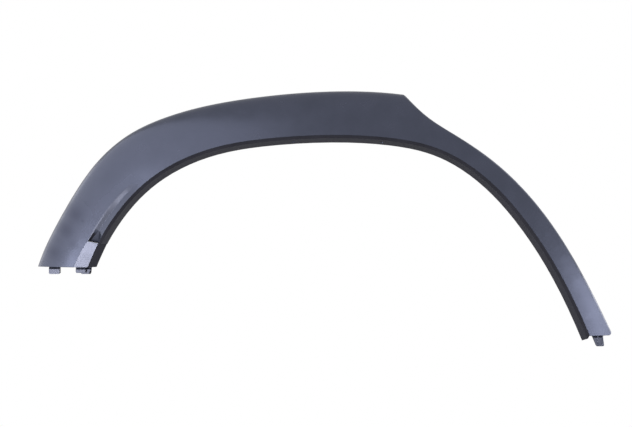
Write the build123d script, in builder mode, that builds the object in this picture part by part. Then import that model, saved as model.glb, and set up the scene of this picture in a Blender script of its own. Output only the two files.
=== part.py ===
from build123d import *
from math import atan2, cos, radians, sin, sqrt, tan
import os

# Wheel arch trim for the rear wing of a car: one moulding of grained plastic with a flared face,
# a return flange round the wheel opening, a rolled rim against the body and an edge along the door gap.
# Frame: +X towards the front of the car, +Y into the car, +Z up. The origin is on the axis of the
# crown locating pin, where its shoulder meets the body side. Sizes are in mm and degrees.

# Lines in side view as (x, z). The rim line runs on past both ends and past the door gap.
OPENING_LINE = [(-385.7, -250.7), (-351.6, -186), (-295.1, -123), (-194, -72.3), (-107, -57.4),
                (-2, -52.2), (91, -57.9), (151, -71.5), (247, -135), (280.4, -172.2), (325.6, -236),
                (391, -365)]
RIM_LINE = [(-506, -315), (-485.2, -250), (-454.7, -185), (-416.6, -121), (-360.5, -56), (-260, -5.4),
            (-136, 20.1), (17, 30.6), (107, 25.1), (176, 9.5), (237, -19.6), (305, -74.6), (398, -192.6),
            (468, -331), (500, -405)]
DOOR_LINE = [(95.4, 39.4), (112.4, 18.9), (137.4, -7.1), (187.4, -41.1), (245.4, -80.6), (322.5, -157.6),
             (381, -244.7), (437, -352.7), (458.5, -396.7)]
BOW_RADIUS = 4000

# Cross-section, square to the opening line
WALL = 2.8
FLARE_HEIGHT = 40
FLANGE_DEPTH = 26
FLANGE_LEAN = 7
REBATE_WIDTH = 3.5
REBATE_DEPTH = 1.2
REBATE_FALL = 2.4
FACE_ANGLE = 17
ROLL_START = 24
ROLL_DEPTH = 12
INNER_CORNER = 1.5

# Ends and door edge
LEFT_END = -250.7
RIGHT_END = (399.5, -359.2)
RIGHT_FLANGE_END = (398, -363)
RIGHT_FLANGE_SLOPE = 46
DOOR_EDGE_RADIUS = 5

# Facet along the inner edge of the left leg: a level pad at the foot with the flange leaning back from it,
# a pocket, and a groove that runs up from the pocket and fades out. Places are along the opening line from
# the left foot; the pad's top has one at the inner edge and one at the crease. Shares run from the crease
# (1) to the inner edge (0), drops are below the face.
PAD_TOP = (37, 32)
PAD_WIDTH = 20.5
POCKET_STEP = 6.5
POCKET_SHARES = [0.95, 0.88, 0.1]
GROOVE_FOOT = 54
GROOVE_TOP = 150
GROOVE_STEPS = 4
GROOVE_WIDTH = 17
GROOVE_SHARES = [1, 0.88, 0.5, 0.46]
GROOVE_DROPS = [0, 0.6, 3.6, 3.6]
GROOVE_FADE = 3
LIP_DROP = 0.6
GROOVE_CLEAR = 0.5

# Fixings on the hidden side
PIN_RADIUS = 4
PIN_LENGTH = 12
PIN_TIP = 1.2
POST_RADIUS = 6
POST_SPAN = 20
POST_WALL = 2.4
PINS = [(0, 0), (-262, -48)]
CLIP_WIDTH = 14
CLIP_THICKNESS = 2.4
CLIP_REACH = 10
CLIP_TAPER = 3
CLIP_TIP = 0.8
CLIP_WINDOW_WIDTH = 6
CLIP_WINDOW_HEIGHT = 3.5
CLIP_WINDOW_DROP = 5
CLIP_RIB_SPAN = 18
CLIP_RIB_WALL = 1.8
CLIP_RIB_DROP = 5
RIM_CLIP_PLACES = [60, 165, 290, 400, 530]
RIM_CLIP_INSET = 24
LEG_CLIP_PLACES = [673, 809, 945]
LEG_CLIP_OUT = 28
GUSSET_PITCH = 68
GUSSET_FIRST = 95
GUSSETS = 13
GUSSET_REACH = 32
GUSSET_WALL = 1.8
GUSSET_SETBACK = 4
SCREW_RADIUS = 3.25
SCREW_SPACING = 140
SCREW_SETBACK = 11
SCREW_PAD_RADIUS = 7
SCREW_PAD_HEIGHT = 3

# Tongues at the ends: places in x, and how far each one hangs below its end
TONGUE_WALL = 4
TONGUE_ROOT = 10
TONGUE_GAP = 1.5
OUTER_TONGUE_X = (-463.2, -445.7)
OUTER_TONGUE_DROP = 11.5
INNER_TONGUE_X = (-416.5, -401)
INNER_TONGUE_DROP = 9
HOOK_X = (-409, -391.5)
HOOK_TIP_X = (-409.5, -393.5)
HOOK_DROP = 11
HOOK_SETBACK = 8
RIGHT_TONGUE_X = (401, 421.5)
RIGHT_TONGUE_TIP_X = (412, 424.8)
RIGHT_TONGUE_DROP = 17.2
TONGUE_CORNER = 1.5
TONGUE_RIB_DEPTH = 10
TONGUE_RIB_WALL = 2.5
NECK_HEIGHT = 3.5
NECK_DEPTH = 1.8
RIDGE_WIDTH = 1.5
RIDGE_HEIGHT = 0.8
RIDGE_INSET = 2.5

STATIONS = 25
RUN_PAST = 62
BEYOND = 600
FINE = 1e-6

with BuildLine(Plane.XZ) as opening_path:
    opening = Spline(*OPENING_LINE)
with BuildLine(Plane.XZ) as rim_path:
    rim = Spline(*RIM_LINE)


def bow(x):
    """Depth by which the body side curves back from the crown at x, seen from above."""
    return x * x / (2 * BOW_RADIUS)


def heading(angle):
    """Unit vector at this angle in a section."""
    return Vector(cos(angle), sin(angle))


def meet(p, p_angle, q, q_angle):
    """Point where the lines through p and q at these angles cross."""
    run = (q - p).cross(heading(q_angle)).Z / sin(q_angle - p_angle)
    return p + heading(p_angle) * run


def outline_face(plane, *points):
    """A straight-sided face on this plane."""
    with BuildSketch(plane) as sketch:
        with BuildLine():
            Polyline(*points, close=True)
        make_face()
    return sketch.sketch.face()


class Section:
    """Cross-section square to the opening line, s along it from the left foot: x out, y into the car."""

    def __init__(self, s):
        inside = min(max(s, 0), opening.length)
        along = opening % (inside / opening.length)
        origin = opening @ (inside / opening.length) + along * (s - inside)
        self.plane = Plane(origin=origin, x_dir=along.cross(Vector(0, 1, 0)), z_dir=-along)
        rim_hits = rim.intersect(Plane(origin=origin, z_dir=along)).vertices()
        rim_point = rim_hits.sort_by_distance(origin)[0].center()
        self.width = (rim_point - origin).length
        self.front = bow(origin.X) - FLARE_HEIGHT
        self.back = bow(rim_point.X)
        self.flange_back = self.front + FLANGE_DEPTH
        self.edge = Vector(FLANGE_LEAN + REBATE_WIDTH, self.front)

    def face_controls(self, inset):
        """Control points of the face: out at the face angle, then round to square with the body side."""
        face_angle = radians(FACE_ANGLE)
        turn = self.edge + Vector(1, tan(face_angle)) * (self.width - ROLL_START - self.edge.X)
        rim_turn = Vector(self.width, self.back - ROLL_DEPTH)
        turn_angle = atan2(rim_turn.Y - turn.Y, rim_turn.X - turn.X)
        start = self.edge + heading(face_angle + radians(90)) * inset
        middle = turn + heading(turn_angle + radians(90)) * inset
        rim_end = Vector(self.width - inset, self.back)
        return [start, meet(start, face_angle, middle, turn_angle),
                meet(middle, turn_angle, rim_end, radians(90)), rim_end]

    def face_depth(self, u):
        """Depth of the face u out from the opening line."""
        points = self.face_controls(0)
        low, high = 0, 1
        while high - low > FINE:
            q = (low + high) / 2
            shares = [(1 - q) ** 3, 3 * q * (1 - q) ** 2, 3 * q * q * (1 - q), q ** 3]
            here = sum((point * share for point, share in zip(points, shares)), Vector())
            low, high = (q, high) if here.X < u else (low, q)
        return here.Y

    def profile(self, inset=0):
        """The outside form, or the same form set in by part of the wall and run on past the back."""
        lean = FLANGE_LEAN / FLANGE_DEPTH
        flange_end = Vector(0, self.flange_back)
        controls = self.face_controls(inset)
        back_edge = [controls[-1], flange_end]
        if inset == 0:
            drop = REBATE_DEPTH + REBATE_FALL
            corner = Vector(FLANGE_LEAN - lean * drop, self.front + drop)
            inner_edge = [flange_end, corner, self.edge + Vector(0, REBATE_DEPTH), self.edge]
        else:
            side = inset * sqrt(1 + lean ** 2)
            flange_end += Vector(side - lean * RUN_PAST, RUN_PAST)
            cut_off = INNER_CORNER + REBATE_WIDTH * (1 - inset / WALL)
            corner_u = FLANGE_LEAN - lean * inset + side + cut_off
            controls[0] = meet(Vector(corner_u, 0), radians(90), controls[0], radians(FACE_ANGLE))
            corner = controls[0] + Vector(-cut_off * (1 + lean), cut_off)
            inner_edge = [flange_end, corner, controls[0]]
            back_edge = [controls[-1], controls[-1] + Vector(0, RUN_PAST), flange_end]
        with BuildSketch(self.plane) as sketch:
            with BuildLine():
                Polyline(*inner_edge)
                Bezier(*controls)
                Polyline(*back_edge)
            make_face()
        return sketch.sketch.face()

    def body_depth(self, u):
        """Depth of the body side u out from the opening line."""
        return bow(self.plane.from_local_coords((u, 0, 0)).X)

    def ahead(self):
        """Depth well in front of the face."""
        return self.front - FLARE_HEIGHT

    def clip_blade(self, u):
        """Blade that stands on the hidden side and reaches into the body, u out."""
        half = CLIP_THICKNESS / 2
        tip = self.body_depth(u) + CLIP_REACH
        return [(u - half, self.ahead()), (u - half, tip - CLIP_TAPER), (u - CLIP_TIP / 2, tip),
                (u + CLIP_TIP / 2, tip), (u + half, tip - CLIP_TAPER), (u + half, self.ahead())]

    def clip_window(self, u):
        """Window near the blade's tip that a spring clip snaps into."""
        top = self.body_depth(u) + CLIP_REACH - CLIP_WINDOW_DROP
        low = top - CLIP_WINDOW_HEIGHT
        reach = CLIP_THICKNESS
        return [(u - reach, low), (u + reach, low), (u + reach, top), (u - reach, top)]

    def clip_rib(self, u):
        """Rib across the blade's foot."""
        half = CLIP_THICKNESS / 2
        span = CLIP_RIB_SPAN / 2
        top = self.body_depth(u) - CLIP_RIB_DROP
        return [(u - span, self.ahead()), (u - span, self.face_depth(u - span) + WALL), (u - half, top),
                (u + half, top), (u + span, self.face_depth(u + span) + WALL), (u + span, self.ahead())]

    def gusset(self):
        """Web in the corner between the face and the return flange."""
        low = self.flange_back - GUSSET_SETBACK
        flange_u = FLANGE_LEAN * GUSSET_SETBACK / FLANGE_DEPTH
        return [(flange_u + WALL, low), (GUSSET_REACH, self.face_depth(GUSSET_REACH) + WALL),
                (GUSSET_REACH, self.ahead()), (-FLANGE_LEAN, self.ahead()), (-FLANGE_LEAN, low)]


def arch_body(inset):
    """The arch from past the left foot to past the right foot."""
    step = (opening.length + 2 * RUN_PAST) / (STATIONS - 1)
    return [Section(-RUN_PAST + i * step).profile(inset) for i in range(STATIONS)]


class Crossing:
    """Line across the face from its inner edge at inner_s out to the crease at outer_s."""

    def __init__(self, inner_s, outer_s, width):
        inner = Section(inner_s)
        outer = Section(outer_s)
        crease = outer.edge.X + width
        start = inner.plane.from_local_coords((inner.edge.X, 0, 0))
        across = outer.plane.from_local_coords((crease, 0, 0)) - start
        self.plane = Plane(origin=start, x_dir=across, z_dir=across.cross(Vector(0, 1, 0)))
        self.length = across.length
        self.past_edge = 2 * inner.edge.X
        self.front = inner.front
        self.rise = outer.face_depth(crease) - inner.front
        self.ahead = inner.ahead()
        self.flange_end = Vector(-inner.edge.X, inner.flange_back)

    def level(self, share, step=0):
        """Point as deep as the crease or a step deeper, at this share of the way out."""
        return Vector(self.length * share, self.front + self.rise + step)

    def below(self, share, drop):
        """Point this far below the face."""
        return Vector(self.length * share, self.front + self.rise * share + drop)

    def cut(self, line, inset):
        """What is taken off in front of a line that runs in from the crease, set in by part of the wall."""
        turns = [atan2(a.Y - b.Y, a.X - b.X) for a, b in zip(line, line[1:])]
        line = line + [line[-1] - heading(turns[-1]) * self.past_edge]
        turns.append(turns[-1])
        points = []
        for point, before, after in zip(line, turns[:1] + turns, turns + turns[-1:]):
            square = heading((before + after) / 2 + radians(90))
            points.append(point + square * (inset / cos((after - before) / 2)))
        return outline_face(self.plane, *points, (points[-1].X, self.ahead), (points[0].X, self.ahead))


def facet_body(inset):
    """Sections of the pad at the left foot, of the pocket above it and of the groove that fades out."""
    pad = []
    top = Crossing(*PAD_TOP, GROOVE_WIDTH)
    for place in [Crossing(-RUN_PAST / 2, -RUN_PAST / 2, PAD_WIDTH), Crossing(0, 0, PAD_WIDTH), top]:
        pad.append(place.cut([place.level(1), place.level(0), place.flange_end], inset))
    groove = []
    for i in range(GROOVE_STEPS + 1):
        share = i / GROOVE_STEPS
        s = GROOVE_FOOT + share * (GROOVE_TOP - GROOVE_FOOT)
        place = Crossing(s, s, GROOVE_WIDTH)
        faded = share ** GROOVE_FADE
        drops = [drop * (1 - faded) - GROOVE_CLEAR * faded for drop in GROOVE_DROPS + [LIP_DROP]]
        line = [place.below(out, drop) for out, drop in zip(GROOVE_SHARES + [0], drops)]
        groove.append(place.cut(line, inset))
    rim_share, outer_share, inner_share = POCKET_SHARES
    line = [top.level(1), top.level(rim_share), top.level(outer_share, POCKET_STEP),
            top.level(inner_share, POCKET_STEP), top.below(0, LIP_DROP)]
    return pad, [top.cut(line, inset), groove[0]], groove


def door_gap(by):
    """The space taken by the door, widened by part of the wall that stands along it."""
    line = []
    for i in range(STATIONS):
        along = door_edge % (i / (STATIONS - 1))
        line.append(door_edge @ (i / (STATIONS - 1)) + Vector(along.Y, -along.X) * by)
    with BuildSketch(ahead_of_trim) as gap:
        with BuildLine():
            edge = Spline(*line)
            Polyline(edge @ 1, (BEYOND, line[-1].Y), (BEYOND, BEYOND), (line[0].X, BEYOND), edge @ 0)
        make_face()
    return gap.sketch


ahead_of_trim = Plane.XZ.offset(BEYOND)
with BuildLine() as door_path:
    door_edge = Spline(*DOOR_LINE)

with BuildSketch(ahead_of_trim) as past_ends:
    with BuildLine():
        Polyline((-BEYOND, LEFT_END), (0, LEFT_END), (0, -BEYOND), (-BEYOND, -BEYOND), close=True)
    make_face()
    with BuildLine():
        flange_run = PolarLine(RIGHT_FLANGE_END, BEYOND / 4, 180 + RIGHT_FLANGE_SLOPE)
        Polyline(flange_run @ 0, RIGHT_END, (BEYOND, RIGHT_END[1]), (BEYOND, -BEYOND), flange_run @ 1)
    make_face()

with BuildPart() as bulk:
    loft(arch_body(0))
    extrude(past_ends.sketch, amount=-2 * BEYOND, mode=Mode.SUBTRACT)
    extrude(door_gap(0), amount=-2 * BEYOND, mode=Mode.SUBTRACT)
    door_wall = bulk.faces().filter_by(GeomType.EXTRUSION).sort_by(SortBy.AREA)[-1]
    front_edge = door_wall.edges().sort_by(Axis.Y)[0]
    end_corner = door_wall.edges().sort_by(Axis.Z)[0]
    fillet([front_edge, end_corner], DOOR_EDGE_RADIUS)
    for part_sections in facet_body(0):
        loft(part_sections, mode=Mode.SUBTRACT)

with BuildPart() as cavity:
    loft(arch_body(WALL))
    extrude(door_gap(WALL), amount=-2 * BEYOND, mode=Mode.SUBTRACT)
    for part_sections in facet_body(WALL):
        loft(part_sections, mode=Mode.SUBTRACT)

# Middle of the wall: what stands on the hidden side is cut off here, so it roots in the wall
with BuildPart() as wall_middle:
    loft(arch_body(WALL / 2))
    extrude(door_gap(WALL / 2), amount=-2 * BEYOND, mode=Mode.SUBTRACT)
    for part_sections in facet_body(WALL / 2):
        loft(part_sections, mode=Mode.SUBTRACT)


def outside_depth(x, z):
    """Depth of the trim's outside at this place in side view."""
    hits = bulk.part.find_intersection_points(Axis((x, -BEYOND, z), (0, 1, 0)))
    return min(point.Y for point, normal in hits)


def flange_height(x, y):
    """Height of the return flange's wheel side at this place in plan view."""
    hits = bulk.part.find_intersection_points(Axis((x, y, -BEYOND), (0, 0, 1)))
    return min(point.Z for point, normal in hits)


def block(x_range, y_range, z_range):
    """A straight block that fills these ranges."""
    low = Vector(x_range[0], y_range[0], z_range[0])
    size = Vector(x_range[1], y_range[1], z_range[1]) - low
    with Locations(low):
        Box(size.X, size.Y, size.Z, align=Align.MIN)


screw_x = SCREW_SPACING / 2
screw_y = bow(screw_x) - FLARE_HEIGHT + FLANGE_DEPTH - SCREW_SETBACK
screw_places = [(-screw_x, screw_y), (screw_x, screw_y)]
flange_low = min(flange_height(*place) for place in screw_places)
flange_high = max(flange_height(*place) for place in screw_places)
screw_pad_top = flange_high + WALL + SCREW_PAD_HEIGHT

rim_clips = []
for s in RIM_CLIP_PLACES:
    place = Section(s)
    rim_clips.append((place, place.width - RIM_CLIP_INSET))
clips = rim_clips + [(Section(s), LEG_CLIP_OUT) for s in LEG_CLIP_PLACES]
gussets = [Section(GUSSET_FIRST + i * GUSSET_PITCH) for i in range(GUSSETS)]

right_foot = RIGHT_END[1]
outer_near = outside_depth(OUTER_TONGUE_X[0], LEFT_END + TONGUE_GAP) + WALL
inner_near = outside_depth(INNER_TONGUE_X[0], LEFT_END + TONGUE_GAP) + WALL
right_near = outside_depth(RIGHT_TONGUE_X[1], right_foot + TONGUE_GAP) + WALL
tongue_list = [(OUTER_TONGUE_X, OUTER_TONGUE_X, LEFT_END, OUTER_TONGUE_DROP, outer_near),
               (INNER_TONGUE_X, INNER_TONGUE_X, LEFT_END, INNER_TONGUE_DROP, inner_near),
               (HOOK_X, HOOK_TIP_X, LEFT_END, HOOK_DROP, inner_near + HOOK_SETBACK),
               (RIGHT_TONGUE_X, RIGHT_TONGUE_TIP_X, right_foot, RIGHT_TONGUE_DROP, right_near)]

with BuildPart() as tongues:
    for (left, right), (tip_left, tip_right), end, drop, near in tongue_list:
        low = end - drop
        with BuildSketch(Plane.XZ.offset(-near)):
            Polygon((left, end + TONGUE_ROOT), (tip_left, low + TONGUE_CORNER),
                    (tip_left + TONGUE_CORNER, low), (tip_right - TONGUE_CORNER, low),
                    (tip_right, low + TONGUE_CORNER), (right, end + TONGUE_ROOT), align=None)
    extrude(amount=-TONGUE_WALL)
    for top_range, tip_range, end, drop, near in tongue_list:
        with BuildSketch(Plane.YZ.offset(top_range[0] - TONGUE_WALL)):
            Polygon((near, end - NECK_HEIGHT), (near + NECK_DEPTH, end), (near, end), align=None)
        extrude(amount=tip_range[1] - top_range[0] + 2 * TONGUE_WALL, mode=Mode.SUBTRACT)
    for top_range, tip_range, end, drop, near in tongue_list:
        block(top_range, (near - FLARE_HEIGHT, near + TONGUE_WALL), (end + TONGUE_GAP, end + TONGUE_ROOT))
    rib_right = OUTER_TONGUE_X[1]
    block((rib_right - TONGUE_RIB_WALL, rib_right),
          (outer_near + NECK_DEPTH, outer_near + TONGUE_RIB_DEPTH),
          (LEFT_END - OUTER_TONGUE_DROP + TONGUE_CORNER, LEFT_END + TONGUE_ROOT))
    for middle in (RIGHT_TONGUE_TIP_X[0] + RIDGE_INSET, RIGHT_TONGUE_TIP_X[1] - RIDGE_INSET):
        block((middle - RIDGE_WIDTH / 2, middle + RIDGE_WIDTH / 2),
              (right_near - RIDGE_HEIGHT, right_near + TONGUE_WALL),
              (right_foot - RIGHT_TONGUE_DROP + TONGUE_CORNER, right_foot + TONGUE_ROOT))

with BuildPart() as fixings:
    for place, out in clips:
        with BuildSketch(place.plane):
            Polygon(*place.clip_blade(out), align=None)
    extrude(amount=CLIP_WIDTH / 2, both=True)
    for place, out in clips:
        with BuildSketch(place.plane):
            Polygon(*place.clip_rib(out), align=None)
    extrude(amount=CLIP_RIB_WALL / 2, both=True)
    for place, out in clips:
        with BuildSketch(place.plane):
            Polygon(*place.clip_window(out), align=None)
    extrude(amount=CLIP_WINDOW_WIDTH / 2, both=True, mode=Mode.SUBTRACT)
    for place in gussets:
        with BuildSketch(place.plane):
            Polygon(*place.gusset(), align=None)
    extrude(amount=GUSSET_WALL / 2, both=True)
    for x, z in PINS:
        with BuildSketch(Plane(origin=(x, bow(x), z), x_dir=(1, 0, 0), z_dir=(0, 1, 0))):
            Circle(POST_RADIUS)
            Rectangle(POST_SPAN, POST_WALL)
            Rectangle(POST_WALL, POST_SPAN)
    extrude(amount=-2 * FLARE_HEIGHT)
    for x, z in PINS:
        with BuildSketch(Plane(origin=(x, bow(x), z), x_dir=(1, 0, 0), z_dir=(0, 1, 0))):
            Circle(PIN_RADIUS)
    extrude(amount=PIN_LENGTH)
    for x, z in PINS:
        chamfer(fixings.faces().sort_by_distance((x, bow(x) + PIN_LENGTH, z))[0].edges(), PIN_TIP)
    with BuildSketch(Plane.XY.offset(screw_pad_top)):
        with Locations(*screw_places):
            Circle(SCREW_PAD_RADIUS)
    extrude(amount=flange_low - screw_pad_top - WALL)
    add(tongues.part)
    add(wall_middle.part, mode=Mode.INTERSECT)

os.makedirs("parts", exist_ok=True)
with BuildPart() as arch_trim:
    add(bulk.part)
    add(cavity.part, mode=Mode.SUBTRACT)
    add(fixings.part)
    with BuildSketch(Plane.XY.offset(screw_pad_top)):
        with Locations(*screw_places):
            Circle(SCREW_RADIUS)
    extrude(amount=flange_low - screw_pad_top - WALL, mode=Mode.SUBTRACT)
arch_trim.part.label = "arch_trim"
export_step(arch_trim.part, "parts/arch_trim.step")
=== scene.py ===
from math import cos, pi, radians, sin

import bmesh
import bpy
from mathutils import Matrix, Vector

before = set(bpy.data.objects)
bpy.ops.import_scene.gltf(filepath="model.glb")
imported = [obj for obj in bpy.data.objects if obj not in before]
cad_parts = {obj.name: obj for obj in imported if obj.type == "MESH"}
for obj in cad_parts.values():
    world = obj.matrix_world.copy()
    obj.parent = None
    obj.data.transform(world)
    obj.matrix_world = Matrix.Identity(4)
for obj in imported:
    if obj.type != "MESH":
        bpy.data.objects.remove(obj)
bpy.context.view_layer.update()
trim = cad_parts["arch_trim"]

# How the photograph sees the part, in metres in the part's frame
PHOTO_WIDTH_PX = 632
METRES_PER_PIXEL = 0.0016
CAMERA_PLACE = Vector((-0.034, -2.2, -0.165))
SENSOR_MM = 36

# Studio: a round pale floor well below the trim, so that it stays out of the photograph's view. It fades
# out between two shares of its radius. The ambient light is the world's.
FLOOR_HEIGHT = -0.70
FLOOR_RADIUS = 1.2
FLOOR_FADE = (0.55, 0.98)
FLOOR_SIDES = 96
FLOOR_COLOUR = (0.85, 0.85, 0.85, 1)
BACKGROUND = (1, 1, 1, 1)
AMBIENT = 0.16

# Colours of lamps and of reflections
COOL = (0.93, 0.95, 1.0)
WHITE = (1.0, 1.0, 1.0)
WARM = (1.0, 0.97, 0.90)
BLUISH = (0.67, 0.72, 1.0)

# Softboxes aimed at the middle of the trim: name, azimuth, elevation, width, height, radiance and colour
LIGHT_AIM = (-0.03, 0, -0.17)
LAMP_DISTANCE = 2.2
SOFTBOXES = [
    ("left_wide", -61, 27, 3.7, 2.4, 1.42, COOL),
    ("left_low", -55, 2, 0.5, 0.5, 6.2, COOL),
    ("left_mid", -40, 18, 0.5, 0.5, 2.6, COOL),
    ("far_left", -112, 16, 0.7, 0.9, 1.9, WHITE),
    ("pad_light", -27, -13.5, 0.45, 0.35, 37, WARM),
    ("front_left", -21, -5, 0.3, 0.15, 16, WARM),
    ("front_mid", -7, -10, 0.4, 0.3, 3.2, WARM),
    ("front_right", 23, -10, 0.4, 0.4, 3.2, WARM),
    ("right", 61, 0, 0.6, 0.6, 6.0, COOL),
    ("right_wide", 104, 28, 1.6, 1.4, 1.0, WHITE),
    ("right_below", 75, -12, 0.73, 0.37, 9, WHITE),
    ("rear", 172, 0, 1.8, 0.8, 5, WHITE),
]

# A small softbox by the front foot, which lights the rounded edge there
FRONT_FOOT = (0.43, 0, -0.35)
EDGE_LAMP_DISTANCE = 0.9
EDGE_SOFTBOX = ("right_edge", 96, 15, 0.7, 0.25, 5.5, WHITE)

# A face is on the flange where its normal points this much at the wheel's centre, seen from the side, and
# on the hidden side where it points this much into the car
WHEEL_CENTRE = Vector((0, 0, -0.33))
FLANGE_LOOKS_IN = 0.4
HIDDEN_LOOKS_BACK = 0.2

# Plastics: dark and light colour, least and most roughness, specular level, colour of the reflections, and
# whether it has the dark blotches
PLASTICS = {
    "satin_plastic": ((0.019, 0.022, 0.032), (0.025, 0.028, 0.041), (0.22, 0.28), 0.8, BLUISH, True),
    "dull_plastic": ((0.021, 0.021, 0.029), (0.027, 0.027, 0.037), (0.55, 0.65), 0.1, WHITE, False),
    # The hidden side's colours are lighter than the outside's: painted light that brightens the back,
    # where little lamplight falls
    "hidden_plastic_painted_lighter": ((0.026, 0.027, 0.032), (0.034, 0.035, 0.041), (0.40, 0.50), 0.35, WHITE, False),
}

# Clouding and grain of every plastic. Scales are per metre, and the edges are the noise values between
# which colour and roughness change.
CLOUD_SCALE = 28
CLOUD_DETAIL = 4
CLOUD_EDGES = (0.35, 0.65)
SHEEN_EDGES = (0.3, 0.7)
GRAIN_SCALE = 900
GRAIN_DETAIL = 2
GRAIN_STRENGTH = 0.015
GRAIN_DEPTH = 0.0002

# Sharp edges are shaded as if rounded to this radius
EDGE_RADIUS = 0.0012

# Soft dark blotches on the rear leg, darker and with less sheen: place in side view as (x, z), radius and
# strength
DARK_BLOTCHES = [
    ((-0.419, -0.166), 0.031, 0.8),
    ((-0.427, -0.179), 0.024, 0.6),
    ((-0.435, -0.191), 0.029, 0.8),
    ((-0.446, -0.209), 0.024, 0.5),
    ((-0.453, -0.227), 0.028, 0.7),
    ((-0.406, -0.177), 0.006, 0.8),
    ((-0.424, -0.212), 0.015, 0.4),
]
BLOTCH_COLOUR = (0.005, 0.006, 0.014)

# Spots with less sheen where the groove on the rear leg fades out, given in the same way
DULL_SPOTS = [
    ((-0.354, -0.152), 0.030, 0.7),
    ((-0.339, -0.136), 0.030, 1),
    ((-0.323, -0.122), 0.030, 0.7),
]

# Roughness that a spot of full strength adds
GROOVE_DULLING = 0.13
BLOTCH_DULLING = 0.4

# Keeps x and z of a place and drops its depth
SIDE_VIEW = (1, 0, 1)


def add_camera():
    camera = bpy.data.cameras.new("camera")
    camera.sensor_width = SENSOR_MM
    camera.lens = SENSOR_MM * -CAMERA_PLACE.y / (PHOTO_WIDTH_PX * METRES_PER_PIXEL)
    obj = bpy.data.objects.new("camera", camera)
    obj.location = CAMERA_PLACE
    obj.rotation_euler = (radians(90), 0, 0)
    bpy.context.scene.collection.objects.link(obj)
    bpy.context.scene.camera = obj


def add_softbox(aim, distance, name, azimuth, elevation, width, height, radiance, colour):
    """A rectangular lamp aimed at a place on the trim. Azimuth 0 is the camera's side and 90 the right."""
    a, e = radians(azimuth), radians(elevation)
    towards = Vector((sin(a) * cos(e), -cos(a) * cos(e), sin(e)))
    lamp = bpy.data.lights.new(name, "AREA")
    lamp.shape = "RECTANGLE"
    lamp.size = width
    lamp.size_y = height
    lamp.energy = pi * width * height * radiance
    lamp.color = colour
    obj = bpy.data.objects.new(name, lamp)
    obj.location = Vector(aim) + towards * distance
    obj.rotation_euler = (-towards).to_track_quat("-Z", "Y").to_euler()
    obj.visible_camera = False
    bpy.context.scene.collection.objects.link(obj)


def larger(nodes, links, first, second):
    """Socket with the larger of two values."""
    node = nodes.new("ShaderNodeMath")
    node.operation = "MAXIMUM"
    links.new(first, node.inputs[0])
    links.new(second, node.inputs[1])
    return node.outputs[0]


def light_world():
    """Dim ambient light, and a plain white background for what the camera sees or sees mirrored."""
    world = bpy.data.worlds.new("studio")
    bpy.context.scene.world = world
    world.use_nodes = True
    nodes, links = world.node_tree.nodes, world.node_tree.links
    nodes.clear()
    ambient = nodes.new("ShaderNodeBackground")
    ambient.inputs["Color"].default_value = BACKGROUND
    ambient.inputs["Strength"].default_value = AMBIENT
    white = nodes.new("ShaderNodeBackground")
    white.inputs["Color"].default_value = BACKGROUND
    white.inputs["Strength"].default_value = 1
    rays = nodes.new("ShaderNodeLightPath").outputs
    seen = larger(nodes, links, rays["Is Camera Ray"], rays["Is Glossy Ray"])
    seen = larger(nodes, links, seen, rays["Is Transmission Ray"])
    mix = nodes.new("ShaderNodeMixShader")
    links.new(seen, mix.inputs["Fac"])
    links.new(ambient.outputs[0], mix.inputs[1])
    links.new(white.outputs[0], mix.inputs[2])
    links.new(mix.outputs[0], nodes.new("ShaderNodeOutputWorld").inputs["Surface"])


def floor_material():
    """Pale and matt, and clear towards the rim."""
    material = bpy.data.materials.new("floor")
    material.use_nodes = True
    nodes, links = material.node_tree.nodes, material.node_tree.links
    nodes.clear()
    pale = nodes.new("ShaderNodeBsdfDiffuse")
    pale.inputs["Color"].default_value = FLOOR_COLOUR
    clear = nodes.new("ShaderNodeBsdfTransparent")
    place = nodes.new("ShaderNodeTexCoord").outputs["Object"]
    out = nodes.new("ShaderNodeVectorMath")
    out.operation = "LENGTH"
    links.new(place, out.inputs[0])
    fade = nodes.new("ShaderNodeMapRange")
    fade.inputs["From Min"].default_value = FLOOR_RADIUS * FLOOR_FADE[0]
    fade.inputs["From Max"].default_value = FLOOR_RADIUS * FLOOR_FADE[1]
    links.new(out.outputs["Value"], fade.inputs["Value"])
    mix = nodes.new("ShaderNodeMixShader")
    links.new(fade.outputs["Result"], mix.inputs["Fac"])
    links.new(pale.outputs[0], mix.inputs[1])
    links.new(clear.outputs[0], mix.inputs[2])
    links.new(mix.outputs[0], nodes.new("ShaderNodeOutputMaterial").inputs["Surface"])
    return material


def add_floor():
    """Pale disc whose rim fades into the white background."""
    mesh = bpy.data.meshes.new("floor")
    disc = bmesh.new()
    bmesh.ops.create_circle(disc, cap_ends=True, segments=FLOOR_SIDES, radius=FLOOR_RADIUS)
    disc.to_mesh(mesh)
    disc.free()
    obj = bpy.data.objects.new("floor", mesh)
    obj.location = (0, 0, FLOOR_HEIGHT)
    bpy.context.scene.collection.objects.link(obj)
    mesh.materials.append(floor_material())


def spots_mask(nodes, links, place, spots):
    """Socket that has each spot's strength in its middle and is 0 away from the spots."""
    flat = nodes.new("ShaderNodeVectorMath")
    flat.operation = "MULTIPLY"
    flat.inputs[1].default_value = SIDE_VIEW
    links.new(place, flat.inputs[0])
    mask = None
    for (x, z), radius, strength in spots:
        away = nodes.new("ShaderNodeVectorMath")
        away.operation = "DISTANCE"
        away.inputs[1].default_value = (x, 0, z)
        links.new(flat.outputs["Vector"], away.inputs[0])
        spot = nodes.new("ShaderNodeMapRange")
        spot.interpolation_type = "SMOOTHSTEP"
        spot.inputs["From Min"].default_value = radius
        spot.inputs["From Max"].default_value = 0
        spot.inputs["To Max"].default_value = strength
        links.new(away.outputs["Value"], spot.inputs["Value"])
        here = spot.outputs["Result"]
        mask = here if mask is None else larger(nodes, links, mask, here)
    return mask


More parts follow.
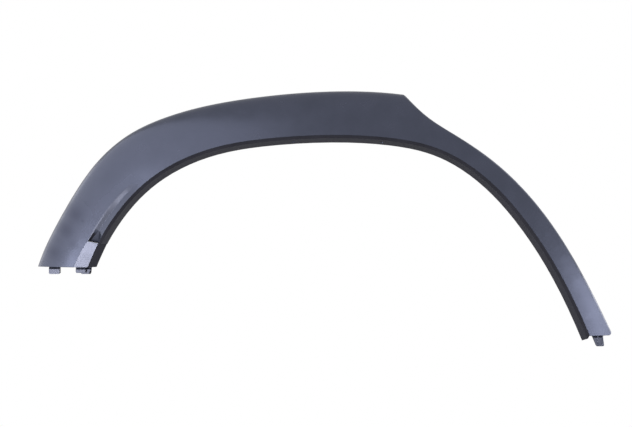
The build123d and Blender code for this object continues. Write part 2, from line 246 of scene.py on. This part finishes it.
def add_dark_blotches(nodes, links, place, colour, roughness):
    """Colour and roughness sockets with the dark blotches laid over them and the groove's end made duller.
    """
    blotch_mask = spots_mask(nodes, links, place, DARK_BLOTCHES)
    blotched = nodes.new("ShaderNodeMix")
    blotched.data_type = "RGBA"
    blotched.inputs["B"].default_value = (*BLOTCH_COLOUR, 1)
    links.new(blotch_mask, blotched.inputs["Factor"])
    links.new(colour, blotched.inputs["A"])
    groove_mask = spots_mask(nodes, links, place, DULL_SPOTS)
    for mask, dulling in [(groove_mask, GROOVE_DULLING), (blotch_mask, BLOTCH_DULLING)]:
        dulled = nodes.new("ShaderNodeMath")
        dulled.operation = "MULTIPLY_ADD"
        links.new(mask, dulled.inputs[0])
        dulled.inputs[1].default_value = dulling
        links.new(roughness, dulled.inputs[2])
        roughness = dulled.outputs[0]
    return blotched.outputs["Result"], roughness


def plastic(name, dark, light, roughness_range, specular, tint, has_blotches):
    """Moulded plastic: cloudy between two close colours, with uneven sheen and a fine grain."""
    material = bpy.data.materials.new(name)
    material.use_nodes = True
    nodes, links = material.node_tree.nodes, material.node_tree.links
    shader = nodes["Principled BSDF"]
    shader.inputs["Specular IOR Level"].default_value = specular
    shader.inputs["Specular Tint"].default_value = (*tint, 1)
    place = nodes.new("ShaderNodeTexCoord").outputs["Object"]

    clouds = nodes.new("ShaderNodeTexNoise")
    clouds.inputs["Scale"].default_value = CLOUD_SCALE
    clouds.inputs["Detail"].default_value = CLOUD_DETAIL
    links.new(place, clouds.inputs["Vector"])
    ramp = nodes.new("ShaderNodeValToRGB")
    for element, position, shade in zip(ramp.color_ramp.elements, CLOUD_EDGES, (dark, light)):
        element.position = position
        element.color = (*shade, 1)
    links.new(clouds.outputs["Fac"], ramp.inputs["Fac"])
    sheen = nodes.new("ShaderNodeMapRange")
    sheen.inputs["From Min"].default_value, sheen.inputs["From Max"].default_value = SHEEN_EDGES
    sheen.inputs["To Min"].default_value, sheen.inputs["To Max"].default_value = roughness_range
    links.new(clouds.outputs["Fac"], sheen.inputs["Value"])
    colour, roughness = ramp.outputs["Color"], sheen.outputs["Result"]
    if has_blotches:
        colour, roughness = add_dark_blotches(nodes, links, place, colour, roughness)
    links.new(colour, shader.inputs["Base Color"])
    links.new(roughness, shader.inputs["Roughness"])

    grain = nodes.new("ShaderNodeTexNoise")
    grain.inputs["Scale"].default_value = GRAIN_SCALE
    grain.inputs["Detail"].default_value = GRAIN_DETAIL
    links.new(place, grain.inputs["Vector"])
    edge = nodes.new("ShaderNodeBevel")
    edge.inputs["Radius"].default_value = EDGE_RADIUS
    bump = nodes.new("ShaderNodeBump")
    bump.inputs["Strength"].default_value = GRAIN_STRENGTH
    bump.inputs["Distance"].default_value = GRAIN_DEPTH
    links.new(grain.outputs["Fac"], bump.inputs["Height"])
    links.new(edge.outputs["Normal"], bump.inputs["Normal"])
    links.new(bump.outputs["Normal"], shader.inputs["Normal"])
    return material


def paint_trim():
    """Satin plastic on the outside, a duller one on the flange and, on the hidden side, a plain one whose
    lighter colour is painted light on the back.
    """
    mesh = trim.data
    mesh.materials.clear()
    for name, finish in PLASTICS.items():
        mesh.materials.append(plastic(name, *finish))
    satin, dull, hidden = range(len(PLASTICS))
    for face in mesh.polygons:
        inwards = WHEEL_CENTRE - face.center
        inwards.y = 0
        if face.normal.y > HIDDEN_LOOKS_BACK:
            # The hidden side gets the plastic painted lighter, which stands in for light on the back
            face.material_index = hidden
        elif face.normal.dot(inwards.normalized()) > FLANGE_LOOKS_IN:
            face.material_index = dull
        else:
            face.material_index = satin


add_camera()
light_world()
add_floor()
for lamp in SOFTBOXES:
    add_softbox(LIGHT_AIM, LAMP_DISTANCE, *lamp)
add_softbox(FRONT_FOOT, EDGE_LAMP_DISTANCE, *EDGE_SOFTBOX)
paint_trim()

scene = bpy.context.scene
scene.view_settings.view_transform = "Standard"
